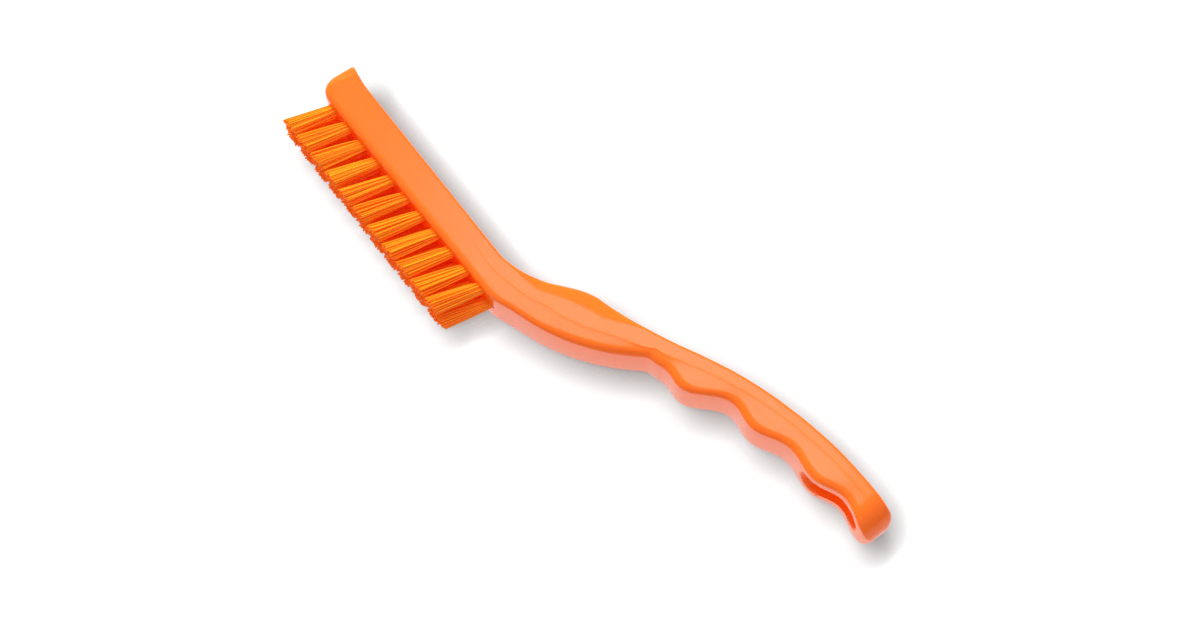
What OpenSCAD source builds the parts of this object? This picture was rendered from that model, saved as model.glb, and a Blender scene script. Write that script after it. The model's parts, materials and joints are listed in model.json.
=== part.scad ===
// Grout brush: a one-piece moulded handle with drilled and stapled bristle tufts.
// It lies on its right side. +X runs from the front of the head to the hanging end,
// +Y to the back of the brush, and the bristles point to -Y. Z is the brush's width.

/* [Overall] */
// Length from the front of the head to the hanging end
overall_l = 230; // [215:1:250]
// Height of the hanging end above the flat top of the head
handle_rise = 46; // [40:1:52]

/* [Head] */
// Length of the flat top of the head
head_l = 84; // [80:1:90]
// Height of the head at its front
head_h = 12.6; // [12:0.1:15]
// How much lower the head is at the last tufts than at its front
head_taper = 1.1; // [0.4:0.1:1.6]
// Width of the head at its front
head_w = 23.5; // [22:0.1:27]
// Width of the head at its last tufts
head_rear_w = 20.8; // [20.4:0.1:24]
// Radius of the nose, from the front face into the underside
nose_r = 6; // [4:0.5:6]
// Height of the raised lip along the front top edge
lip_h = 1.6; // [0.6:0.1:2.5]
// Length over which the lip runs out into the flat top
lip_run = 11; // [8:0.5:14]
// Rounding of the front corners seen from above, along the brush
corner_l = 4.5; // [3:0.5:6]
// Rounding of the front corners seen from above, across the brush
corner_w = 2.8; // [1.5:0.1:3.2]
// Rounding of the head's lower edges
head_round = 2.1; // [1.2:0.1:2.1]

/* [Neck] */
// Length of the neck, from the flat top to the crest in front of the thumb rest
neck_l = 30.5; // [28:0.5:34]
// Height of the crest above the flat top of the head
crest_h = 16.2; // [14:0.1:18]
// Depth of the soft shoulder below the crest's edge
shoulder_h = 4.6; // [2:0.1:5]
// Width of the soft shoulder on each side
shoulder_w = 1.9; // [1:0.1:2.5]
// Width at the crest
crest_w = 20.4; // [19:0.1:22]

/* [Grip] */
// Width of the grip between the finger grooves
grip_w = 20; // [18:0.1:22]
// Width of the round hanging end
end_w = 21.2; // [19:0.1:23]
// Distance of the first finger groove behind the crest
groove_offset = 30.2; // [26:0.1:31]
// Distance from one finger groove to the next
finger_pitch = 23.5; // [22:0.5:24]
// Height of the grip in its finger grooves, measured along Y
groove_h = [9.9, 9.8, 10.4, 9.1]; // [8:0.1:10.5]
// Height of the grip on the ridge after each groove, measured along Y
ridge_h = [14.3, 13.2, 12.7, 11.4]; // [10.6:0.1:16]
// Length of the level stretch at the hanging end
level_l = 25; // [22:1:30]
// How far the sides bulge at the parting line
crown = 0.35; // [0:0.05:0.6]
// Rounding of the top edges
top_round = 1.1; // [0.6:0.1:1.6]
// Rounding of the grip's lower edges
low_round = 3; // [1.5:0.1:3]
// Rounding of the hanging end, from the top into the end
end_round = 3.4; // [2:0.1:4]

/* [Thumb rest] */
// Distance of the thumb rest behind the crest
thumb_offset = 1.5; // [0:0.5:5]
// Length of the thumb rest
thumb_l = 37; // [30:1:42]
// Width of the thumb rest
thumb_w = 15; // [12:0.5:16]
// Depth of the thumb rest at its deepest
thumb_d = 2; // [1:0.1:3]

/* [Hanging slot] */
// Length of the slot at its top
slot_l = 19; // [15:0.5:21]
// Width of the slot at its top
slot_w = 8.5; // [6:0.1:10]
// How much nearer to the head the slot starts at its underside
slot_run = 5.3; // [0:0.1:6]
// How much wider each side of the slot is at its underside
slot_flare = 0.6; // [0:0.1:0.8]
// Material left between the slot and the hanging end
slot_margin = 6.1; // [4.5:0.1:8]

/* [Tufts] */
// Number of tufts in the left row and in the right row
side_tufts = 11; // [8:1:11]
// Number of tufts in the middle row
middle_tufts = 12; // [8:1:12]
// Distance of the first tufts from the front of the head
first_tuft = 8; // [8:0.5:10]
// How far the side rows reach past the flat top of the head
side_reach = 4; // [0:0.5:5]
// How far the middle row reaches past the flat top of the head
middle_reach = 8; // [4:0.5:8]
// Distance of the side rows from the sides of the head
row_inset = 4.7; // [4.5:0.1:4.9]
// Forward lean of the tufts
tuft_lean = 16; // [8:1:18]
// Depth of the trimmed tips below the flat top of the head
trim_depth = 28.5; // [24:0.5:36]
// Diameter of the drilled tuft holes
hole_d = 4.8; // [4:0.1:4.9]
// Depth of the drilled tuft holes
hole_depth = 8.6; // [7:0.1:9]
// Gap between neighbouring tufts at their tips
tip_gap = 0.3; // [0.3:0.1:1]
// Width of a strand at its root
root_strand = 0.75; // [0.5:0.05:0.8]
// Width of a strand at its tip
tip_strand = 0.92; // [0.5:0.05:1]

/* [Anchor wires] */
// Length of an anchor wire across its hole
wire_l = 5.5; // [5.2:0.1:6]
// Height of an anchor wire, along its hole
wire_h = 1.8; // [1.2:0.1:2.2]
// Thickness of an anchor wire
wire_t = 0.4; // [0.3:0.05:0.6]
// Thickness of the fold of bristles between an anchor wire and the floor of its hole
fold_h = 0.9; // [0.6:0.1:1.4]

/* [Hidden] */
// Clearance of a tuft in its hole and round its anchor wire
fit = 0.05;
// How far a tuft's solid root ends inside its hole
root_recess = 0.8;
// How deep each strand is rooted in that solid root
strand_seat = 0.4;
// Cutters run this far past the surface that they open
past = 2;
// Strands in the rings of a tuft, from its middle outwards, and how far the rings are turned
strand_rings = [1, 5, 8];
ring_turn = 22.5;
// How far the front face leans back, and the rounding along its top edge
front_lean = 0.5;
lip_round = 0.9;
// Shape of the lip's run-out and of its rounded edge: 1 is straight, more is hollower
lip_power = 1.6;
lip_round_power = 8;
// Shape of the thumb rest: below 1 its deepest point lies nearer to the crest
thumb_power = 0.6;
// The soft shoulder fades out this far before and behind the crest
shoulder_reach = neck_l + 2;
// Extra rounding of the top edges at the tip of the hanging end, in height and in width
tip_round = [1, 0.5];
// Rounding of the hanging end's underside, as a share of the rounding of its top
end_low_share = 0.8;
// Faceting of the handle
nose_steps = 7;
head_steps = 3;
grip_step = 2.1;
end_steps = 9;
end_sweep = 82;
nose_power = 1.4;
top_cells = 8;
edge_cells = 4;
slot_cells = 16;
$fn = 48;

// Derived sizes of the handle
crest_x = head_l + neck_l;
end_r = end_w / 2;
end_x = overall_l - end_r;
rise_end_x = overall_l - level_l;
first_groove = crest_x + groove_offset;
second_ridge = first_groove + 1.5 * finger_pitch;
thumb_x = crest_x + thumb_offset;
slot_x = overall_l - slot_margin - slot_l / 2;
rear_x = head_l + middle_reach;

// Derived sizes of the tufts
row_z = head_rear_w / 2 - row_inset;
side_pitch = (head_l + side_reach - first_tuft) / (side_tufts - 1);
middle_pitch = (head_l + middle_reach - first_tuft) / (middle_tufts - 1);
tip_l = min(side_pitch, middle_pitch) * cos(tuft_lean) - tip_gap;
tip_w = row_z - tip_gap;

// The rows: name, place across the head, number of tufts and pitch
ROWS = [
    ["left", row_z, side_tufts, side_pitch],
    ["middle", 0, middle_tufts, middle_pitch],
    ["right", -row_z, side_tufts, side_pitch]
];

// Neck and grip as shares of their own run and rise, from the head to the hanging end
NECK = [[0.17, 0.058], [0.31, 0.149], [0.44, 0.276], [0.55, 0.405], [0.65, 0.56],
        [0.75, 0.717], [0.86, 0.869], [1, 1]];
GRIP = [[0.053, 0.043], [0.151, 0.141], [0.288, 0.314], [0.416, 0.506], [0.549, 0.682],
        [0.696, 0.825], [0.853, 0.929], [1, 0.985]];
// Belly, as shares of the run and rise from the head's last tufts to the first groove
BELLY = [[0.19, 0.119], [0.36, 0.212], [0.512, 0.347], [0.647, 0.504], [0.764, 0.673],
         [0.87, 0.863], [0.925, 0.959], [1, 1]];

function clamp01(t) = min(1, max(0, t));
function mix(a, b, t) = a + (b - a) * t;
function ease(t) = (1 - cos(180 * clamp01(t))) / 2;
function bell(t) = abs(t) >= 1 ? 0 : pow(cos(90 * t), 2);
function tuft_name(row, i) = str("tuft_", row[0], i < 10 ? "_0" : "_", i);

// Smooth curve through points, flat where the points turn back
function secant(p, i) = (p[i + 1][1] - p[i][1]) / (p[i + 1][0] - p[i][0]);
function tangent(p, i) =
    let (n = len(p) - 1,
         a = secant(p, max(i - 1, 0)),
         b = secant(p, min(i, n - 1)))
    a * b <= 0 ? 0 : 2 * a * b / (a + b);
function curve(p, x) =
    let (i = max([for (k = [0 : len(p) - 2]) if (k == 0 || x >= p[k][0]) k]),
         w = p[i + 1][0] - p[i][0],
         t = clamp01((x - p[i][0]) / w))
    p[i][1] * (2 * pow(t, 3) - 3 * pow(t, 2) + 1)
    + p[i + 1][1] * (3 * pow(t, 2) - 2 * pow(t, 3))
    + tangent(p, i) * w * (pow(t, 3) - 2 * pow(t, 2) + t)
    + tangent(p, i + 1) * w * (pow(t, 3) - pow(t, 2));
function stretch(shares, from, to) =
    [for (s = shares) [mix(from[0], to[0], s[0]), mix(from[1], to[1], s[1])]];

TOP_LINE = concat(
    [[head_l - past, 0], [head_l, 0]],
    stretch(NECK, [head_l, 0], [crest_x, crest_h]),
    stretch(GRIP, [crest_x, crest_h], [rise_end_x, handle_rise]),
    [[end_x, handle_rise], [overall_l + past, handle_rise]]
);
LOW_LINE = concat(
    [[nose_r, -head_h], [rear_x, head_low(rear_x)]],
    stretch(BELLY, [rear_x, head_low(rear_x)],
            [first_groove, curve(TOP_LINE, first_groove) - groove_h[0]])
);
HALF_WIDTH = [
    [0, head_w / 2], [rear_x, head_rear_w / 2], [crest_x, crest_w / 2],
    [first_groove, grip_w / 2], [second_ridge, grip_w / 2],
    [end_x - end_r / 2, end_w / 2], [overall_l, end_w / 2]
];

// Underside of the head, where the tuft holes are
function head_low(x) = -head_h + head_taper * (x - nose_r) / (rear_x - nose_r);

// Top of the brush, with the lip at its front
function top_y(x) =
    x < lip_run ? lip_h * pow(1 - x / lip_run, lip_power) : x < head_l ? 0 : curve(TOP_LINE, x);

// Height of the grip, from groove to ridge and back
function grip_h(x) =
    let (u = max(0, (x - first_groove) / (finger_pitch / 2)),
         i = min(floor(u), 2 * len(groove_h) - 2),
         marks = [for (k = [0 : len(groove_h) - 1]) for (h = [groove_h[k], ridge_h[k]]) h])
    mix(marks[i], marks[i + 1], ease(u - i));

// Underside of the whole brush
function low_y(x) =
    x < rear_x ? head_low(x)
    : x < first_groove ? curve(LOW_LINE, x)
    : top_y(x) - grip_h(x);

// How far the hanging end is rounded away at x, for a radius r
function end_drop(x, r) =
    let (u = max(0, x - (overall_l - r))) r - sqrt(max(0, r * r - u * u));

// Half the width at x, up to the round end: the head's sides are flat
function half_width(x) =
    x < rear_x ? mix(head_w, head_rear_w, clamp01((x - corner_l) / (rear_x - corner_l))) / 2
    : curve(HALF_WIDTH, x);

// Depth of the thumb rest: steep at its front end, running out towards the hanging end
function thumb_depth(x, z) =
    let (u = (x - thumb_x) / thumb_l,
         across = u <= 0 || u >= 1 ? 0 : thumb_w / 2 * sqrt(1 - pow(2 * u - 1, 2)))
    across <= abs(z) ? 0
    : thumb_d * sin(180 * pow(u, thumb_power)) * (1 - pow(z / across, 2));

// A cross-section as [height, width] points, for a section of height h at x
function outline(x, h, half) =
    let (soft = bell((x - crest_x) / shoulder_reach),
         tail = clamp01((x - end_x) / end_r),
         ry = min(mix(top_round, shoulder_h, soft) + tip_round[0] * tail, h / 3),
         rz = min(mix(top_round, shoulder_w, soft) + tip_round[1] * tail, half / 2),
         lower = mix(head_round, low_round, clamp01((x - rear_x) / (crest_x - rear_x))),
         rl = min(lower, half / 2, h / 3),
         bulge = min(crown, half / 10) * clamp01((x - head_l) / neck_l),
         side = half - bulge)
    concat(
        [for (k = [0 : top_cells])
            let (z = (side - rz) * (2 * k / top_cells - 1)) [h - thumb_depth(x, z), z]],
        [for (k = [1 : edge_cells])
            let (a = 90 * k / edge_cells)
            [h - ry + ry * cos(a), side - rz + rz * sin(a)]],
        [[mix(rl, h - ry, 0.5), half]],
        [for (k = [0 : edge_cells])
            let (a = 90 * k / edge_cells)
            [rl - rl * sin(a), side - rl + rl * cos(a)]],
        [for (k = [0 : edge_cells])
            let (a = 90 * (1 - k / edge_cells))
            [rl - rl * sin(a), -(side - rl + rl * cos(a))]],
        [[mix(rl, h - ry, 0.5), -half]],
        [for (k = [0 : edge_cells - 1])
            let (a = 90 * (1 - k / edge_cells))
            [h - ry + ry * cos(a), -(side - rz + rz * sin(a))]]
    );

// A cross-section in space, between a top point and a low point of the brush's side view
function section(top, low, half) =
    let (h = norm(top - low), up = (top - low) / h)
    [for (q = outline(top[0], h, half)) [low[0] + up[0] * q[0], low[1] + up[1] * q[0], q[1]]];

// Cross-sections fan round the nose, run along the head and grip, and close in at the end
function nose_section(t) =
    let (x = mix(front_lean, lip_run, pow(t, nose_power)),
         a = 90 * t,
         low = [nose_r * (1 - cos(a)), -head_h + nose_r * (1 - sin(a))],
         lip = [x, top_y(x) - lip_round * pow(1 - t, lip_round_power)],
         corner = corner_w * (1 - sqrt(1 - pow(1 - clamp01(x / corner_l), 2))))
    section(lip, low, half_width(x) - corner);
function plain_section(x) = section([x, top_y(x)], [x, low_y(x)], half_width(x));
function end_section(t) =
    let (a = end_sweep * t,
         x = end_x + end_r * sin(a) / sin(end_sweep))
    section([x, top_y(x) - end_drop(x, end_round)],
            [x, low_y(x) + end_drop(x, end_round * end_low_share)], end_r * cos(a));

grip_steps = round((end_x - head_l) / grip_step);
SECTIONS = concat(
    [for (i = [0 : nose_steps]) nose_section(i / nose_steps)],
    [for (i = [1 : head_steps]) plain_section(mix(lip_run, head_l, i / head_steps))],
    [for (i = [1 : grip_steps]) plain_section(mix(head_l, end_x, i / grip_steps))],
    [for (i = [1 : end_steps]) end_section(i / end_steps)]
);

// Puts a piece into the row frame: centred in plan and lying on z = 0
module place() {
    translate([-overall_l / 2, (trim_depth - handle_rise) / 2, head_w / 2])
        children();
}

// Puts a piece at a tuft's mouth, with Z along the tuft and X along the row
module at_tuft(row, i) {
    x = first_tuft + row[3] * (i - 1);
    translate([x, head_low(x), row[1]])
        rotate([90, 0, -tuft_lean])
            children();
}

module every_tuft() {
    for (row = ROWS)
        for (i = [1 : row[2]])
            at_tuft(row, i)
                children();
}

// An anchor wire in its hole, larger all round by extra
module wire(extra = 0) {
    size = [wire_l, wire_t, wire_h] + 2 * extra * [1, 1, 1];
    translate([0, 0, -hole_depth + fold_h + wire_h / 2])
        cube(size, center = true);
}

// The middle of a cross-section
function middle(s) = [for (axis = [0 : 2]) (s[0][axis] + s[floor(len(s) / 2)][axis]) / 2];

// The moulding before it is drilled: a skin over all cross-sections, closed by two fans
module blank() {
    n = len(SECTIONS[0]);
    m = len(SECTIONS);
    skin = [for (j = [0 : m - 2]) for (k = [0 : n - 1])
        let (a = j * n + k, b = j * n + (k + 1) % n)
        each [[a, a + n, b], [b, a + n, b + n]]];
    last = (m - 1) * n;
    front = [for (k = [0 : n - 1]) [m * n, k, (k + 1) % n]];
    rear = [for (k = [0 : n - 1]) [m * n + 1, last + (k + 1) % n, last + k]];
    polyhedron(concat([for (s = SECTIONS) each s], [middle(SECTIONS[0]), middle(SECTIONS[m - 1])]),
               concat(skin, front, rear));
}

// The slot's outline at the height y: its front end slopes towards the head going down
function slot_ring(y) =
    let (down = (handle_rise - y) / ridge_h[3],
         r = slot_w / 2 + slot_flare * down,
         rear = slot_x + slot_l / 2 - r,
         front = slot_x - slot_l / 2 - slot_run * down + r)
    concat([for (k = [0 : slot_cells])
               let (a = 180 * k / slot_cells) [rear + r * sin(a), y, r * cos(a)]],
           [for (k = [0 : slot_cells])
               let (a = 180 * k / slot_cells) [front - r * sin(a), y, -r * cos(a)]]);

module slot_cutter() {
    high = slot_ring(handle_rise + past);
    low = slot_ring(handle_rise - max(ridge_h) - past);
    n = len(high);
    sides = [for (k = [0 : n - 1])
        let (next = (k + 1) % n) each [[k, next, n + k], [next, n + next, n + k]]];
    polyhedron(concat(high, low), concat(sides, [[for (k = [0 : n - 1]) n - 1 - k],
                                                 [for (k = [0 : n - 1]) n + k]]));
}

module handle() {
    color("#FF7A2A")
        place()
            difference() {
                blank();
                slot_cutter();
                every_tuft() {
                    translate([0, 0, -hole_depth])
                        cylinder(d = hole_d, h = hole_depth + past);
                    wire(fit);
                }
            }
}

module anchor_wires() {
    color("#B9B7AE")
        place()
            every_tuft()
                wire();
}

// One strand from root point r to tip point t; its tip is cut parallel to the head
module strand(r, t, drop) {
    corners = [[-1, -1], [1, -1], [1, 1], [-1, 1]];
    root_z = -root_recess - strand_seat;
    root = [for (c = corners) [r[0] + c[0] * root_strand / 2, r[1] + c[1] * root_strand / 2, root_z]];
    tip = [for (c = corners)
        let (x = t[0] + c[0] * tip_strand / 2)
        [x, t[1] + c[1] * tip_strand / 2, (drop - x * sin(tuft_lean)) / cos(tuft_lean)]];
    sides = [for (k = [0 : 3]) let (n = (k + 1) % 4) each [[k, k + 4, n], [n, k + 4, n + 4]]];
    polyhedron(concat(root, tip), concat(sides, [[0, 1, 2], [0, 2, 3], [6, 5, 4], [7, 6, 4]]));
}

// A tuft: its root fills the hole round the anchor wire, and its strands fan out from it
module tuft(row, i) {
    drop = trim_depth + head_low(first_tuft + row[3] * (i - 1));
    ring_r = hole_d / 2 - 2 * fit - root_strand / sqrt(2);
    color("#FF9628")
        place()
            at_tuft(row, i) {
                difference() {
                    translate([0, 0, -hole_depth + fit])
                        cylinder(d = hole_d - 2 * fit, h = hole_depth - fit - root_recess);
                    wire(fit);
                }
                for (ring = [0 : len(strand_rings) - 1])
                    for (k = [1 : strand_rings[ring]]) {
                        share = ring / (len(strand_rings) - 1);
                        a = 360 * k / strand_rings[ring] + ring_turn;
                        dir = share * [cos(a), sin(a)];
                        reach = [tip_l - tip_strand, tip_w - tip_strand] / 2;
                        strand(ring_r * dir, [reach[0] * dir[0], reach[1] * dir[1]], drop);
                    }
            }
}

handle();
anchor_wires();
for (row = ROWS)
    for (i = [1 : row[2]])
        tuft(row, i);
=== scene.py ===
"""Looks of a grout brush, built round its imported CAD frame.

The brush lies on its right side. +X runs from the front of the head to the hanging end,
+Y to the back of the brush, the bristles point to -Y, and Z is the brush's width.
Sizes of the brush are in millimetres, from the front of the head, the flat top of the
head and the brush's middle plane; Blender's own units are metres.
"""

import json
import logging
import math
from collections.abc import Callable
from dataclasses import dataclass, field
from enum import Enum
from functools import cached_property
from typing import ClassVar

import bpy
from bpy.types import ID, Light, Material, Mesh, Node, NodeSocket, NodeTree, Object
from mathutils import Matrix, Vector

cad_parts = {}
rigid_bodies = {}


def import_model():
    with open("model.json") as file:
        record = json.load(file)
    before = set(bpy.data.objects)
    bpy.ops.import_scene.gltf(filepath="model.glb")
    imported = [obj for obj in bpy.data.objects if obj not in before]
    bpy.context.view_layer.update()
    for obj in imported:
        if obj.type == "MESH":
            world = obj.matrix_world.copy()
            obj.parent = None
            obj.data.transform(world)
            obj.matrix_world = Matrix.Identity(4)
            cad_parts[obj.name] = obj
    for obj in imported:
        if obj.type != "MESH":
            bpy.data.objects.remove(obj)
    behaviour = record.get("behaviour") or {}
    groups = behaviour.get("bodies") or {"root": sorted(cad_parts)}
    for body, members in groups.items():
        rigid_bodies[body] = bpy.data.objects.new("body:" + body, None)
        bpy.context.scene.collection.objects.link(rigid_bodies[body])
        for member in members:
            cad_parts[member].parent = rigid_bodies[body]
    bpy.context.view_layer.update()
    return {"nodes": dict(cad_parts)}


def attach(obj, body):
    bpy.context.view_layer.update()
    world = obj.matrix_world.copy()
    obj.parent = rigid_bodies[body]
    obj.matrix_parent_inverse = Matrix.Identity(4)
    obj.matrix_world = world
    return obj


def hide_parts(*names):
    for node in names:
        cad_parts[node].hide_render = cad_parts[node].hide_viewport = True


LOG = logging.getLogger("grout_brush")
MM = 0.001
BODY = "root"
GOLDEN_ANGLE = math.pi * (3 - math.sqrt(5))
Point = tuple[float, float]
Point3 = tuple[float, float, float]
Ring = list[Point3]


class Row(Enum):
    """The three rows of tufts."""

    LEFT = "left"
    MIDDLE = "middle"
    RIGHT = "right"


def mix(start: float, end: float, share: float) -> float:
    """Returns the value that lies a share of the way from start to end."""
    return start + (end - start) * share


def clamp(value: float, low: float = 0.0, high: float = 1.0) -> float:
    """Returns the value, held between low and high."""
    return min(high, max(low, value))


def ease(share: float) -> float:
    """Returns a share that starts and stops softly."""
    return (1 - math.cos(math.pi * clamp(share))) / 2


def bell(distance: float) -> float:
    """Returns 1 at no distance, falling softly to 0 at a distance of 1."""
    return 0.0 if abs(distance) >= 1 else math.cos(math.pi / 2 * distance) ** 2


def rounding(distance: float, radius: float) -> float:
    """Returns how far a rounded edge has dropped away.

    Args:
        distance: distance into the face from the edge.
        radius: radius of the rounding.

    Returns:
        The drop, which is the radius at the edge and 0 from a radius away on.
    """
    reach = clamp(radius - distance, 0.0, radius)
    return radius - math.sqrt(max(0.0, radius**2 - reach**2))


def linear(colour: str) -> tuple[float, float, float, float]:
    """Turns an sRGB hex colour into Blender's linear colour.

    Args:
        colour: the colour as "#RRGGBB".

    Returns:
        Linear red, green, blue and an alpha of 1.
    """
    shares = [int(colour[i : i + 2], 16) / 255 for i in (1, 3, 5)]
    return (*(s / 12.92 if s <= 0.04045 else ((s + 0.055) / 1.055) ** 2.4 for s in shares), 1.0)


def add_node(
    tree: NodeTree, kind: str, inputs: dict[str | int, object] | None = None, **settings: object
) -> Node:
    """Adds a node with its settings, values and links.

    Args:
        tree: the node tree.
        kind: Blender's name for the node.
        inputs: input name or number to a value, or to the node or socket that feeds it.
        **settings: the node's own properties.

    Returns:
        The new node.
    """
    node = tree.nodes.new(kind)
    for name, value in settings.items():
        setattr(node, name, value)
    for key, value in (inputs or {}).items():
        if isinstance(value, Node):
            value = value.outputs[0]
        if isinstance(value, NodeSocket):
            tree.links.new(value, node.inputs[key])
        else:
            node.inputs[key].default_value = value
    return node


def calculate(tree: NodeTree, operation: str, *values: object) -> Node:
    """Adds a node that works on one or two numbers, nodes or sockets."""
    return add_node(tree, "ShaderNodeMath", dict(enumerate(values)), operation=operation)


def on_vectors(tree: NodeTree, operation: str, first: object, second: object) -> Node:
    """Adds a node that works on two vectors, or scales a vector by a number."""
    key = "Scale" if operation == "SCALE" else 1
    return add_node(tree, "ShaderNodeVectorMath", {0: first, key: second}, operation=operation)


def blend(tree: NodeTree, share: object, start: object, end: object, kind: str = "FLOAT") -> NodeSocket:
    """Adds a node that mixes two values.

    Args:
        tree: the node tree.
        share: how much of the second value there is.
        start: the first value, or what feeds it.
        end: the second value, or what feeds it.
        kind: "FLOAT", "VECTOR" or "RGBA".

    Returns:
        The socket that gives the mix.
    """
    place = ("FLOAT", "VECTOR", "RGBA").index(kind)
    inputs = {0: share, 2 * place + 2: start, 2 * place + 3: end}
    return add_node(tree, "ShaderNodeMix", inputs, data_type=kind).outputs[place]


def change_range(tree: NodeTree, value: object, to: Point, start: Point = (0.0, 1.0)) -> Node:
    """Adds a node that turns the range from start into another, and holds values at its ends."""
    ends = {"From Min": start[0], "From Max": start[1], "To Min": to[0], "To Max": to[1]}
    return add_node(tree, "ShaderNodeMapRange", {"Value": value, **ends})


def noise(
    tree: NodeTree, width: float, detail: float = 2.0, stretch: Point3 | None = None, swirl: float = 0.0
) -> Node:
    """Adds a noise over a piece.

    Args:
        tree: the node tree.
        width: width of its marks in millimetres.
        detail: how much finer detail it has.
        stretch: scale along each axis, below 1 where the marks are drawn out.
        swirl: how far its marks are swirled.

    Returns:
        The node.
    """
    place = add_node(tree, "ShaderNodeTexCoord").outputs["Object"]
    if stretch:
        place = add_node(tree, "ShaderNodeMapping", {"Vector": place, "Scale": stretch})
    inputs = {"Vector": place, "Scale": 1 / (width * MM), "Detail": detail, "Distortion": swirl}
    return add_node(tree, "ShaderNodeTexNoise", inputs)


def bump(tree: NodeTree, relief: Point, height: Node, over: Node | None = None) -> Node:
    """Adds a relief.

    Args:
        tree: the node tree.
        relief: its strength, and its depth in millimetres.
        height: the node that gives its height.
        over: the relief that it lies on, if any.

    Returns:
        The node.
    """
    inputs = {"Strength": relief[0], "Distance": relief[1] * MM, "Height": height}
    return add_node(tree, "ShaderNodeBump", inputs | ({"Normal": over} if over else {}))


def shown_share(tree: NodeTree, gloss: object = 1.0) -> Node:
    """Adds a node that is 1 for what the camera sees, also in gloss or through glass.

    Args:
        tree: the node tree.
        gloss: how much of it gloss shows, as a number or a node.

    Returns:
        The node.
    """
    rays = add_node(tree, "ShaderNodeLightPath").outputs
    sheen = calculate(tree, "MULTIPLY", rays["Is Glossy Ray"], gloss)
    seen = calculate(tree, "MAXIMUM", rays["Is Camera Ray"], sheen)
    return calculate(tree, "MAXIMUM", seen, rays["Is Transmission Ray"])


@dataclass(frozen=True)
class Finish:
    """A material of the brush or the studio."""

    name: ClassVar[str]

    def surface(self, tree: NodeTree) -> Node:
        """Adds the nodes that make the surface, and returns the last."""
        raise NotImplementedError

    def build(self) -> Material:
        """Returns the material."""
        material = bpy.data.materials.new(self.name)
        material.use_nodes = True
        tree = material.node_tree
        tree.nodes.clear()
        add_node(tree, "ShaderNodeOutputMaterial", {"Surface": self.surface(tree)})
        return material


@dataclass(frozen=True)
class Plastic(Finish):
    """A coloured plastic that light goes a little way into.

    A weak red glow of its own is painted light: it brightens the plastic's shade in red, though the plastic
    is no lamp.
    """

    # Painted light: the colour and strength of a red glow that brightens the plastic, in its shade too
    painted_glow_colour: str
    painted_red_glow: float
    ior: float
    # How much light goes in, how far in millimetres, and that reach's red, green and blue shares
    glow: float
    glow_depth: float
    glow_reach: Point3
    polish: float = 0.5

    def shader(self, tree: NodeTree, colour: object, roughness: object, normal: Node) -> Node:
        """Adds the plastic's shader.

        Args:
            tree: the node tree.
            colour: the socket that gives its colour.
            roughness: its roughness, as a number or a node.
            normal: its relief.

        Returns:
            The shader's node.
        """
        inputs = {
            "Base Color": colour,
            "Roughness": roughness,
            "IOR": self.ior,
            "Specular IOR Level": self.polish,
            "Subsurface Weight": self.glow,
            "Subsurface Radius": self.glow_reach,
            "Subsurface Scale": self.glow_depth * MM,
            # The emission is painted light, a red glow that lifts the plastic's shade
            "Emission Color": linear(self.painted_glow_colour),
            "Emission Strength": self.painted_red_glow,
            "Normal": normal,
        }
        return add_node(tree, "ShaderNodeBsdfPrincipled", inputs)


@dataclass(frozen=True)
class MouldedPolypropylene(Plastic):
    """Injection-moulded polypropylene, coloured through.

    A polished mould gives it a soft gloss. Light goes a little way into it, so its edges
    glow, and the skin shows faint flow marks, sink and hairline scratches from use.
    """

    name: ClassVar[str] = "moulded_polypropylene"
    colour: str = "#FF720E"
    flow_colour: str = "#FF7814"
    # Painted light: a weak red glow that lifts the handle's shade
    painted_glow_colour: str = "#FF1C00"
    painted_red_glow: float = 0.12
    roughness: Point = (0.2, 0.26)
    ior: float = 1.49
    polish: float = 0.38
    glow: float = 0.2
    glow_depth: float = 2.0
    glow_reach: Point3 = (1.0, 0.22, 0.06)
    # Real widths in millimetres. The moulded grain is drawn coarser than the real 0.05.
    flow_width: float = 14.0
    flow_swirl: float = 0.8
    grain_width: float = 0.35
    scratch_width: float = 0.5
    # The scratches run along the brush. Between these noise values they turn from gloss to dull.
    scratch_stretch: Point3 = (0.06, 1.0, 1.0)
    scratch_range: Point = (0.35, 0.7)
    # Each relief is its strength and its depth in millimetres
    grain_relief: Point = (0.01, 0.01)
    sink_relief: Point = (0.08, 0.2)

    def surface(self, tree: NodeTree) -> Node:
        """Adds the nodes that make the surface, and returns the last."""
        flow = noise(tree, self.flow_width, swirl=self.flow_swirl)
        colour = blend(tree, flow, linear(self.colour), linear(self.flow_colour), "RGBA")
        scratches = noise(tree, self.scratch_width, 3.0, self.scratch_stretch)
        sheen = change_range(tree, scratches, self.roughness, self.scratch_range)
        skin = bump(tree, self.grain_relief, noise(tree, self.grain_width))
        return self.shader(tree, colour, sheen, bump(tree, self.sink_relief, flow, skin))


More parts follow.
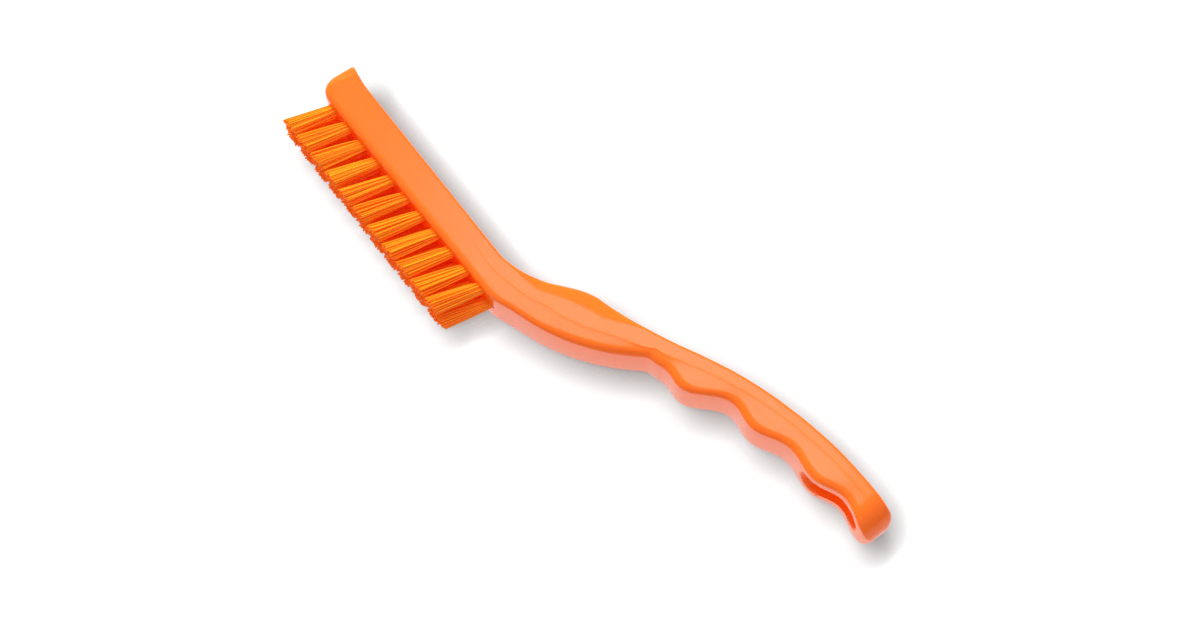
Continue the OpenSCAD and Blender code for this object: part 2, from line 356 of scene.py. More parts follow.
@dataclass(frozen=True)
class ExtrudedFilament(Plastic):
    """Stiff extruded polyester filament, drawn and cut.

    Drawing gives each filament a satin streak along its length and its own slight tone,
    and the cut ends are a little duller.
    """

    name: ClassVar[str] = "extruded_filament"
    dark: str = "#FF8400"
    light: str = "#FFA806"
    cut_end: str = "#FF8A10"
    # Painted light: a weak red glow that lifts the filaments' shade
    painted_glow_colour: str = "#FF1800"
    painted_red_glow: float = 0.1
    roughness: float = 0.5
    ior: float = 1.42
    glow: float = 0.1
    glow_depth: float = 0.3
    glow_reach: Point3 = (1.0, 0.45, 0.1)
    # The part of a filament from which its cut end shows, and how strongly
    cut_from: float = 0.97
    cut_share: float = 0.7
    # The streaks' width in millimetres, their stretch along the filament, and their relief
    streak_width: float = 0.12
    streak_stretch: Point3 = (1.0, 0.05, 1.0)
    streak_relief: Point = (0.15, 0.03)

    def surface(self, tree: NodeTree) -> Node:
        """Adds the nodes that make the surface, and returns the last."""
        tone, reach = (
            add_node(tree, "ShaderNodeAttribute", attribute_name=name).outputs["Fac"]
            for name in ("tone", "reach")
        )
        shade = blend(tree, tone, linear(self.dark), linear(self.light), "RGBA")
        cut = change_range(tree, reach, (0.0, self.cut_share), (self.cut_from, 1.0))
        colour = blend(tree, cut, shade, linear(self.cut_end), "RGBA")
        streaks = noise(tree, self.streak_width, 1.0, self.streak_stretch)
        return self.shader(tree, colour, self.roughness, bump(tree, self.streak_relief, streaks))


@dataclass(frozen=True)
class DrawnWire(Finish):
    """Flat drawn steel wire: a satin metal with fine lines along it."""

    name: ClassVar[str] = "drawn_wire"
    colour: str = "#B9B7AE"
    roughness: Point = (0.28, 0.42)
    # The lines' width in millimetres, and their stretch along the wire
    line_width: float = 0.08
    line_stretch: Point3 = (0.05, 1.0, 1.0)

    def surface(self, tree: NodeTree) -> Node:
        """Adds the nodes that make the surface, and returns the last."""
        satin = change_range(tree, noise(tree, self.line_width, stretch=self.line_stretch), self.roughness)
        inputs = {"Base Color": linear(self.colour), "Metallic": 1.0, "Roughness": satin}
        return add_node(tree, "ShaderNodeBsdfPrincipled", inputs)


@dataclass(frozen=True)
class StudioPaper(Finish):
    """Matt white studio paper: white where it is seen, pale for its bounce.

    Part of its light is its own even glow, as on a light table, which also lights the brush from below.
    What the camera sees of that glow is darkened close to the brush by a painted shadow, worked out from
    how near the brush is rather than from the lights.
    """

    name: ClassVar[str] = "studio_paper"
    # Each pair is the paper's value for bounced light, then where it is seen
    matt: Point = (0.95, 1.3)
    even: Point = (0.95, 1.1)
    even_share: Point = (0.6, 0.9)
    # How far the painted shadow reaches in millimetres, the side that it is painted as lit from, and its
    # depth
    painted_shadow_reach: float = 11.5
    painted_shadow_lit_from: Point3 = (-1.0, -0.8, 0.6)
    painted_shadow_depth: float = 2.3
    painted_shadow_samples: int = 8

    def surface(self, tree: NodeTree) -> Node:
        """Adds the nodes that make the surface, and returns the last."""
        shown = shown_share(tree)
        matt, even, share = (blend(tree, shown, *pair) for pair in (self.matt, self.even, self.even_share))
        side = add_node(tree, "ShaderNodeCombineXYZ", dict(enumerate(Vector(self.painted_shadow_lit_from).normalized())))
        # The painted shadow: ambient occlusion within its reach, turned to one side, darkens the paper's
        # glow
        inputs = {"Distance": self.painted_shadow_reach * MM, "Normal": side}
        near = add_node(tree, "ShaderNodeAmbientOcclusion", inputs, samples=self.painted_shadow_samples)
        shade = calculate(tree, "POWER", near.outputs["AO"], self.painted_shadow_depth)
        # Only the camera sees the painted shadow; gloss and bounced light see the even glow
        camera = add_node(tree, "ShaderNodeLightPath").outputs["Is Camera Ray"]
        glow = calculate(tree, "MULTIPLY", blend(tree, camera, 1.0, shade), even)
        plain = add_node(tree, "ShaderNodeBsdfDiffuse", {"Color": matt})
        lit = add_node(tree, "ShaderNodeEmission", {"Strength": glow})
        return add_node(tree, "ShaderNodeMixShader", {0: share, 1: plain, 2: lit})


@dataclass(frozen=True)
class SmoothLine:
    """A smooth curve through points, flat where the points turn back."""

    points: tuple[Point, ...]

    def slope(self, index: int) -> float:
        """Returns the slope of the straight line from a point to the next."""
        (x0, y0), (x1, y1) = self.points[index : index + 2]
        return (y1 - y0) / (x1 - x0)

    def tangent(self, index: int) -> float:
        """Returns the curve's slope at a point."""
        before = self.slope(max(index - 1, 0))
        after = self.slope(min(index, len(self.points) - 2))
        return 0.0 if before * after <= 0 else 2 * before * after / (before + after)

    def at(self, x: float) -> float:
        """Returns the curve's height at x."""
        spans = range(len(self.points) - 1)
        i = max(k for k in spans if k == 0 or x >= self.points[k][0])
        (x0, y0), (x1, y1) = self.points[i : i + 2]
        width = x1 - x0
        t = clamp((x - x0) / width)
        return (
            y0 * (2 * t**3 - 3 * t**2 + 1)
            + y1 * (3 * t**2 - 2 * t**3)
            + self.tangent(i) * width * (t**3 - 2 * t**2 + t)
            + self.tangent(i + 1) * width * (t**3 - t**2)
        )


def stretched(shares: tuple[Point, ...], start: Point, end: Point) -> tuple[Point, ...]:
    """Returns shares of a run and a rise as points between two places."""
    return tuple((mix(start[0], end[0], a), mix(start[1], end[1], b)) for a, b in shares)


@dataclass(frozen=True)
class BrushFrame:
    """Driving sizes of the brush, and its place in the row frame."""

    overall_l: float = 230.0
    handle_rise: float = 46.0
    trim_depth: float = 28.5
    head_l: float = 84.0
    head_h: float = 12.6
    head_taper: float = 1.1
    head_w: float = 23.5
    head_rear_w: float = 20.8
    nose_r: float = 6.0
    rear_reach: float = 8.0

    @property
    def rear_x(self) -> float:
        """Where the last tufts are."""
        return self.head_l + self.rear_reach

    def head_low(self, x: float) -> float:
        """Returns the height of the head's underside at x."""
        return -self.head_h + self.head_taper * (x - self.nose_r) / (self.rear_x - self.nose_r)

    @cached_property
    def to_row(self) -> Matrix:
        """Moves and scales brush millimetres into the row frame's metres."""
        shift = (-self.overall_l / 2, (self.trim_depth - self.handle_rise) / 2, self.head_w / 2)
        return Matrix.Scale(MM, 4) @ Matrix.Translation(shift)


@dataclass(frozen=True)
class TuftField:
    """Where the tufts stand, and the holes they are stapled into."""

    frame: BrushFrame
    side_tufts: int = 11
    middle_tufts: int = 12
    first_tuft: float = 8.0
    side_reach: float = 4.0
    row_inset: float = 4.7
    lean: float = 16.0
    hole_d: float = 4.8
    hole_depth: float = 8.6
    tip_gap: float = 0.3

    @property
    def row_z(self) -> float:
        """Distance of the side rows from the middle plane."""
        return self.frame.head_rear_w / 2 - self.row_inset

    def count(self, row: Row) -> int:
        """Returns the number of tufts in a row."""
        return self.middle_tufts if row is Row.MIDDLE else self.side_tufts

    def pitch(self, row: Row) -> float:
        """Returns the distance from one tuft of a row to the next."""
        reach = self.frame.rear_reach if row is Row.MIDDLE else self.side_reach
        return (self.frame.head_l + reach - self.first_tuft) / (self.count(row) - 1)

    def mouth_x(self, row: Row, index: int) -> float:
        """Returns how far along the head a tuft's hole opens; tufts count from 1."""
        return self.first_tuft + self.pitch(row) * (index - 1)

    def at_mouth(self, row: Row, index: int) -> Matrix:
        """Returns the matrix that has Z along a tuft and X along its row, in brush millimetres."""
        x = self.mouth_x(row, index)
        z = {Row.LEFT: self.row_z, Row.MIDDLE: 0.0, Row.RIGHT: -self.row_z}[row]
        turned = Matrix.Rotation(-math.radians(self.lean), 4, "Z") @ Matrix.Rotation(math.pi / 2, 4, "X")
        return Matrix.Translation((x, self.frame.head_low(x), z)) @ turned

    def drop(self, row: Row, index: int) -> float:
        """Returns the height from a tuft's mouth to the trimmed tips."""
        return self.frame.trim_depth + self.frame.head_low(self.mouth_x(row, index))

    def tip_half_size(self) -> Point:
        """Returns half the length and half the width of a tuft at its tips."""
        pitch = min(self.pitch(Row.LEFT), self.pitch(Row.MIDDLE))
        along = pitch * math.cos(math.radians(self.lean)) - self.tip_gap
        return along / 2, (self.row_z - self.tip_gap) / 2

    def places(self) -> list[tuple[Row, int]]:
        """Returns every tuft's row and number."""
        return [(row, i) for row in Row for i in range(1, self.count(row) + 1)]


def shell(rings: list[Ring], name: str) -> Mesh:
    """Makes a closed mesh over rings of points.

    Args:
        rings: rings of as many points each, clockwise as seen from the first ring.
        name: the mesh's name.

    Returns:
        The mesh, its ends closed by fans round a middle point.
    """
    n = len(rings[0])
    last = (len(rings) - 1) * n
    points = [p for ring in rings for p in ring]
    for ring in (rings[0], rings[-1]):
        opposite = ring[n // 2]
        points.append(tuple((a + b) / 2 for a, b in zip(ring[0], opposite, strict=True)))
    faces = [
        (j * n + k, j * n + (k + 1) % n, (j + 1) * n + (k + 1) % n, (j + 1) * n + k)
        for j in range(len(rings) - 1)
        for k in range(n)
    ]
    faces += [(last + n, (k + 1) % n, k) for k in range(n)]
    faces += [(last + n + 1, last + k, last + (k + 1) % n) for k in range(n)]
    mesh = bpy.data.meshes.new(name)
    mesh.from_pydata(points, [], faces)
    return mesh


def add_object(name: str, data: ID) -> Object:
    """Makes an object of some data, links it into the scene and returns it."""
    thing = bpy.data.objects.new(name, data)
    bpy.context.scene.collection.objects.link(thing)
    return thing


def finished_mesh(work: Object) -> Mesh:
    """Returns the mesh that an object's modifiers make, and removes the object."""
    evaluated = work.evaluated_get(bpy.context.evaluated_depsgraph_get())
    mesh = bpy.data.meshes.new_from_object(evaluated)
    bpy.data.objects.remove(work)
    return mesh


def place_piece(mesh: Mesh, name: str, slot: str, sharp_angle: float, *nodes: str) -> None:
    """Makes a finished mesh a piece of the brush that stands for CAD nodes.

    Args:
        mesh: the mesh, in the row frame.
        name: the piece's name.
        slot: the record's material slot; not used.
        sharp_angle: the angle in degrees past which its edges are sharp.
        *nodes: the CAD nodes that it replaces.
    """
    mesh.shade_smooth()
    mesh.set_sharp_from_angle(angle=math.radians(sharp_angle))
    piece = add_object(name, mesh)
    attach(piece, BODY)
    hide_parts(*nodes)
    LOG.info("%s: %d faces", name, len(mesh.polygons))


@dataclass
class Handle:
    """The one-piece moulding: head, neck, grip with thumb rest and grooves, hanging end."""

    frame: BrushFrame
    field: TuftField
    finish: MouldedPolypropylene
    # The head: its raised front lip, the front face, and the front corners as seen from above
    lip_h: float = 1.6
    lip_run: float = 11.0
    lip_power: float = 1.6
    lip_round: float = 0.9
    front_lean: float = 0.5
    corner_l: float = 4.5
    corner_reach: float = 5.2
    corner_w: float = 2.8
    # The neck, and the crest in front of the thumb rest
    neck_l: float = 30.5
    crest_h: float = 16.2
    crest_w: float = 20.4
    # The flat shoulder below the crest: its height and width, its middle and half length, how
    # soon it sets in, and the power of its outline, where 2 is round and 1 is straight
    shoulder_h: float = 8.6
    shoulder_w: float = 2.3
    shoulder_x: float = 111.5
    shoulder_reach: float = 22.5
    shoulder_onset: float = 0.8
    shoulder_round: float = 1.5
    # The grip: its width, its finger grooves and the ridges after them, and its level end
    grip_w: float = 20.0
    end_w: float = 21.2
    groove_offset: float = 30.2
    finger_pitch: float = 23.5
    narrow_grooves: float = 1.5
    groove_h: tuple[float, ...] = (9.9, 9.8, 10.4, 9.1)
    ridge_h: tuple[float, ...] = (14.3, 13.2, 12.7, 11.4)
    level_l: float = 25.0
    # How far the sides bulge, and the rounding of the top edges
    crown: float = 0.175
    top_round: float = 1.1
    # The most that the top and the lower edge take of a section's height, and that either edge
    # and the bulge take of half its width
    top_share: float = 1 / 3
    low_share: float = 0.4
    side_share: float = 0.5
    bulge_share: float = 0.1
    # The lower edge's soft bend: its height along the brush, its turn in degrees at the head
    # and at the grip, and the radius of the crisp edge below it
    low_bends: tuple[Point, ...] = (
        (84, 1.9), (96, 1.6), (108, 1.9), (117, 2.7), (127, 3.2), (136, 3.6), (150, 2.9), (230, 2.6)
    )
    low_turn: Point = (80.0, 58.0)
    crisp: float = 0.3
    head_round: float = 2.1
    # The rounding into the hanging end, and how much more its top edge is rounded
    end_round: float = 3.4
    end_low_share: float = 0.8
    tip_round: Point = (1.0, 0.5)
    # The thumb rest, and the power that moves its deepest place forwards
    thumb_offset: float = 1.5
    thumb_l: float = 37.0
    thumb_w: float = 15.0
    thumb_d: float = 2.0
    thumb_power: float = 0.6
    # The hanging slot: its size at the top, its spread towards the underside, and its soft rims
    slot_l: float = 19.0
    slot_w: float = 8.5
    slot_margin: float = 6.1
    slot_run: float = 5.3
    slot_flare: float = 0.6
    slot_top_round: float = 2.0
    slot_low_round: float = 0.8
    # The mould's parting line: a bead along both sides, where it sets in, its depths below the
    # top along the brush, and the rows of points over it
    bead_h: float = 0.016
    bead_w: float = 0.36
    bead_fade: Point = (72.0, 84.0)
    bead_depths: tuple[Point, ...] = (
        (80, 4.4), (92, 5.7), (98, 7.4), (107, 10.8), (113, 12.6), (119, 11.6), (125, 9.6),
        (130, 8.1), (136, 6.9), (142, 5.9), (150, 5.4), (175, 4.4), (230, 4.0)
    )
    bead_rows: tuple[float, ...] = (0.5, 0.25, 0, -0.25, -0.5)
    # Shares of the run and the rise along the top, from the head to the crest and from there to
    # the hanging end, then along the underside, from the last tufts to the first groove
    neck: tuple[Point, ...] = (
        (0.17, 0.058), (0.31, 0.149), (0.44, 0.276), (0.55, 0.405), (0.65, 0.56), (0.75, 0.717),
        (0.86, 0.869), (1, 1)
    )
    rise: tuple[Point, ...] = (
        (0.053, 0.043), (0.151, 0.141), (0.288, 0.314), (0.416, 0.506), (0.549, 0.682), (0.696, 0.825),
        (0.853, 0.929), (1, 0.985)
    )
    belly: tuple[Point, ...] = (
        (0.19, 0.108), (0.36, 0.214), (0.512, 0.347), (0.647, 0.504), (0.764, 0.673), (0.87, 0.863),
        (0.925, 0.959), (1, 1)
    )
    # How far the top's line runs on past its ends
    line_past: float = 2.0
    # How finely the blank, its roundings and its cutters are divided
    nose_steps: int = 30
    nose_power: float = 1.6
    head_step: float = 2.0
    grip_step: float = 0.75
    end_steps: int = 30
    end_sweep: float = 86.0
    top_cells: int = 26
    side_cells: int = 6
    edge_cells: int = 8
    crisp_cells: int = 3
    slot_cells: int = 24
    slot_passes: int = 6
    rim_degrees: range = range(0, 81, 10)
    hole_cells: int = 32
    # How far the cutters stand past the surface, and the angle past which an edge is sharp
    slot_past: float = 3.0
    hole_past: float = 2.0
    sharp_angle: float = 38.0

    def __post_init__(self) -> None:
        """Works out the places and lines that follow from the driving sizes."""
        f = self.frame
        self.crest_x = f.head_l + self.neck_l
        self.end_r = self.end_w / 2
        self.end_x = f.overall_l - self.end_r
        self.first_groove = self.crest_x + self.groove_offset
        self.thumb_x = self.crest_x + self.thumb_offset
        self.slot_x = f.overall_l - self.slot_margin - self.slot_l / 2
        level_x = f.overall_l - self.level_l
        crest = (self.crest_x, self.crest_h)
        self.top_line = SmoothLine(
            ((f.head_l - self.line_past, 0.0), (f.head_l, 0.0))
            + stretched(self.neck, (f.head_l, 0.0), crest)
            + stretched(self.rise, crest, (level_x, f.handle_rise))
            + ((self.end_x, f.handle_rise), (f.overall_l + self.line_past, f.handle_rise))
        )
        rear = (f.rear_x, f.head_low(f.rear_x))
        groove = (self.first_groove, self.top_line.at(self.first_groove) - self.groove_h[0])
        self.low_line = SmoothLine(((f.nose_r, -f.head_h), rear) + stretched(self.belly, rear, groove))
        self.width_line = SmoothLine(
            (
                (0.0, f.head_w),
                (f.rear_x, f.head_rear_w),
                (self.crest_x, self.crest_w),
                (self.first_groove, self.grip_w),
                (self.first_groove + self.narrow_grooves * self.finger_pitch, self.grip_w),
                (self.end_x - self.end_r / 2, self.end_w),
                (f.overall_l, self.end_w),
            )
        )
        self.bead_line = SmoothLine(self.bead_depths)
        self.low_bend = SmoothLine(self.low_bends)

    def top_y(self, x: float) -> float:
        """Returns the height of the brush's top at x, with the lip at its front."""
        if x < self.lip_run:
            return self.lip_h * (1 - x / self.lip_run) ** self.lip_power
        return 0.0 if x < self.frame.head_l else self.top_line.at(x)

    def grip_height(self, x: float) -> float:
        """Returns the height of the grip, from groove to ridge and back."""
        step = max(0.0, (x - self.first_groove) / (self.finger_pitch / 2))
        marks = [h for pair in zip(self.groove_h, self.ridge_h, strict=True) for h in pair]
        i = min(int(step), len(marks) - 2)
        return mix(marks[i], marks[i + 1], ease(step - i))

    def low_y(self, x: float) -> float:
        """Returns the height of the brush's underside at x."""
        if x < self.frame.rear_x:
            return self.frame.head_low(x)
        return self.low_line.at(x) if x < self.first_groove else self.top_y(x) - self.grip_height(x)

    def half_width(self, x: float) -> float:
        """Returns half the width at x: the head's sides are flat."""
        f = self.frame
        if x < f.rear_x:
            return mix(f.head_w, f.head_rear_w, clamp((x - self.corner_l) / (f.rear_x - self.corner_l))) / 2
        return self.width_line.at(x) / 2

    def thumb_depth(self, x: float, z: float) -> float:
        """Returns the depth of the thumb rest: steep at its front, running out behind."""
        u = (x - self.thumb_x) / self.thumb_l
        if not 0 < u < 1:
            return 0.0
        across = self.thumb_w / 2 * math.sqrt(1 - (2 * u - 1) ** 2)
        if across <= abs(z):
            return 0.0
        return self.thumb_d * math.sin(math.pi * u**self.thumb_power) * (1 - (z / across) ** 2)

    def half_outline(self, x: float, h: float, half: float) -> list[Point]:
        """Returns one side of a cross-section.

        Args:
            x: place along the brush.
            h: height of the section.
            half: half its width.

        Returns:
            Points as (height, distance from the middle plane), from the top edge's
            rounding down the side to the underside's rounding.
        """
        soft = bell((x - self.shoulder_x) / self.shoulder_reach) ** self.shoulder_onset
        tail = clamp((x - self.end_x) / self.end_r)
        along = clamp((x - self.frame.rear_x) / (self.crest_x - self.frame.rear_x))
        top_h = mix(self.top_round, self.shoulder_h, soft) + self.tip_round[0] * tail
        top_w = mix(self.top_round, self.shoulder_w, soft) + self.tip_round[1] * tail
        low = mix(self.head_round, self.low_bend.at(x), along)
        top_h, top_w = min(top_h, h * self.top_share), min(top_w, half * self.side_share)
        low = min(low, half * self.side_share, h * self.low_share)
        fade_from, fade_to = self.bead_fade
        bead = self.bead_h * clamp((x - fade_from) / (fade_to - fade_from))
        bulge = min(self.crown, half * self.bulge_share) * clamp((x - self.frame.head_l) / self.neck_l)
        side = half - bulge - bead
        top_end = h - top_h
        line = clamp(h - self.bead_line.at(x), low + self.bead_w, top_end - self.bead_w)
        shares = [k / self.side_cells for k in range(1, self.side_cells)]
        rows = [mix(top_end, line + self.bead_w, share) for share in shares]
        rows += [line + self.bead_w * share for share in self.bead_rows]
        rows += [mix(line - self.bead_w, low, share) for share in shares]
        power = 2 / mix(2.0, self.shoulder_round, soft)
        turns = [math.pi / 2 * k / self.edge_cells for k in range(self.edge_cells)]
        points = [
            (top_end + top_h * math.cos(a) ** power, side - top_w + top_w * math.sin(a) ** power)
            for a in turns
        ]
        points.append((top_end, side))
        for y in rows:
            rest = 1 - (y - line) / ((top_end if y > line else low) - line)
            points.append((y, side + bulge * rest + bead * bell((y - line) / (self.bead_w / 2))))
        return points + self.low_edge(low, side, math.radians(mix(*self.low_turn, along)))

    def low_edge(self, low: float, side: float, turn: float) -> list[Point]:
        """Returns a section's lower edge, a soft inward bend that ends in a crisp edge.

        Args:
            low: its height.
            side: the side's distance from the middle plane.
            turn: how far the soft bend turns, in radians.

        Returns:
            Points as (height, distance from the middle plane), from the side down.
        """
        radius = (low - self.crisp * (1 - math.sin(turn))) / math.sin(turn)
        bend = [turn * k / self.edge_cells for k in range(self.edge_cells + 1)]
        points = [(low - radius * math.sin(a), side - radius * (1 - math.cos(a))) for a in bend]
        y, z = points[-1]
        for k in range(1, self.crisp_cells + 1):
            a = mix(turn, math.pi / 2, k / self.crisp_cells)
            down, inwards = math.sin(a) - math.sin(turn), math.cos(turn) - math.cos(a)
            points.append((y - self.crisp * down, z - self.crisp * inwards))
        return points

    def outline(self, x: float, h: float, half: float) -> list[Point]:
        """Returns a whole cross-section as (height, width) points, clockwise from its top."""
        edge = self.half_outline(x, h, half)
        reach = edge[0][1]
        top = [reach * (2 * k / self.top_cells - 1) for k in range(1, self.top_cells)]
        left = [(y, -z) for y, z in reversed(edge)]
        return [(h - self.thumb_depth(x, z), z) for z in top] + edge + left

    def section(self, top: Point, low: Point, half: float) -> Ring:
        """Returns a cross-section in brush millimetres, between two points of the side view."""
        h = math.dist(top, low)
        up = ((top[0] - low[0]) / h, (top[1] - low[1]) / h)
        return [(low[0] + up[0] * y, low[1] + up[1] * y, z) for y, z in self.outline(top[0], h, half)]

    def nose_section(self, share: float) -> Ring:
        """Returns one of the sections that fan round the nose, from the front face on."""
        f = self.frame
        x = mix(self.front_lean, self.lip_run, share**self.nose_power)
        a = math.pi / 2 * share
        low = (f.nose_r * (1 - math.cos(a)), -f.head_h + f.nose_r * (1 - math.sin(a)))
        depth = x - self.front_lean
        top = (x, self.top_y(x) - rounding(depth, self.lip_round))
        corner = self.corner_w * rounding(depth, self.corner_reach) / self.corner_reach
        return self.section(top, low, self.half_width(x) - corner)

    def plain_section(self, x: float) -> Ring:
        """Returns an upright section."""
        return self.section((x, self.top_y(x)), (x, self.low_y(x)), self.half_width(x))

    def end_section(self, share: float) -> Ring:
        """Returns one of the sections that close in on the hanging end."""
        sweep = math.radians(self.end_sweep)
        x = self.end_x + self.end_r * math.sin(sweep * share) / math.sin(sweep)
        left = self.frame.overall_l - x
        top = self.top_y(x) - rounding(left, self.end_round)
        low = self.low_y(x) + rounding(left, self.end_round * self.end_low_share)
        return self.section((x, top), (x, low), self.end_r * math.cos(sweep * share))

    def blank(self) -> Mesh:
        """Returns the moulding before it is drilled."""
        rings = [self.nose_section(i / self.nose_steps) for i in range(self.nose_steps + 1)]
        head = (self.lip_run, self.frame.head_l, self.head_step)
        grip = (self.frame.head_l, self.end_x, self.grip_step)
        for start, end, step in (head, grip):
            count = round((end - start) / step)
            rings += [self.plain_section(mix(start, end, i / count)) for i in range(1, count + 1)]
        rings += [self.end_section(i / self.end_steps) for i in range(1, self.end_steps + 1)]
        return shell(rings, "handle_blank")

    def slot_ring(self, edge: Callable[[float], float], depth: float, out: float) -> Ring:
        """Returns a loop round the hanging slot, at a depth below or above an edge line.

        Args:
            edge: height of the top or the underside at x.
            depth: height of the loop above that line.
            out: how far the loop stands out from the slot's wall.

        Returns:
            The loop's points. The slot's front end slopes towards the head going down, and
            each point settles on the edge line in a few passes.
        """
        ring = []
        for k in range(2 * self.slot_cells + 2):
            rear = k <= self.slot_cells
            turn = math.pi * (k % (self.slot_cells + 1)) / self.slot_cells
            x, z = self.slot_x, 0.0
            for _ in range(self.slot_passes):
                y = edge(x) + depth
                down = (self.frame.handle_rise - y) / self.ridge_h[-1]
                wall = self.slot_w / 2 + self.slot_flare * down
                bulge = wall - (wall + out) * math.sin(turn)
                if rear:
                    x = self.slot_x + self.slot_l / 2 - bulge
                else:
                    x = self.slot_x - self.slot_l / 2 - self.slot_run * down + bulge
                z = (wall + out) * math.cos(turn) * (-1 if rear else 1)
            ring.append((x, y, z))
        return ring

    def slot_cutter(self) -> Mesh:
        """Returns a plug as large as the hanging slot, flared where the slot's edges are rounded."""
        arcs = [math.radians(a) for a in self.rim_degrees]
        flare = [(1 - math.cos(a), 1 - math.sin(a)) for a in arcs]
        top, low = self.slot_top_round, self.slot_low_round
        rings = [self.slot_ring(self.top_y, self.slot_past, top * flare[-1][0])]
        rings += [self.slot_ring(self.top_y, -top * depth, top * out) for out, depth in reversed(flare)]
        rings += [self.slot_ring(self.low_y, low * depth, low * out) for out, depth in flare]
        rings.append(self.slot_ring(self.low_y, -self.slot_past, low * flare[-1][0]))
        return shell(rings, "slot_cutter")

    def hole_cutter(self, row: Row, index: int) -> Mesh:
        """Returns a plug as large as one tuft's drilled hole."""
        radius = self.field.hole_d / 2
        turns = [-2 * math.pi * k / self.hole_cells for k in range(self.hole_cells)]
        ends = (self.hole_past, -self.field.hole_depth)
        rings = [[(radius * math.cos(a), radius * math.sin(a), z) for a in turns] for z in ends]
        mesh = shell(rings, "hole_cutter")
        mesh.transform(self.field.at_mouth(row, index))
        return mesh

    def build(self) -> None:
        """Drills the blank, dresses it and makes it a piece."""
        cutters = [self.slot_cutter()] + [self.hole_cutter(row, i) for row, i in self.field.places()]
        collection = bpy.data.collections.new("cutters")
        bpy.context.scene.collection.children.link(collection)
        for mesh in cutters:
            collection.objects.link(bpy.data.objects.new(mesh.name, mesh))
        work = add_object("handle_work", self.blank())
        drill = work.modifiers.new("drill", "BOOLEAN")
        drill.operation = "DIFFERENCE"
        drill.operand_type = "COLLECTION"
        drill.collection = collection
        drill.solver = "MANIFOLD"
        mesh = finished_mesh(work)
        for scrap in list(collection.objects):
            bpy.data.objects.remove(scrap)
        bpy.data.collections.remove(collection)
        mesh.transform(self.frame.to_row)
        mesh.materials.clear()
        mesh.materials.append(self.finish.build())
        place_piece(mesh, "handle_moulding", "handle", self.sharp_angle, "handle")


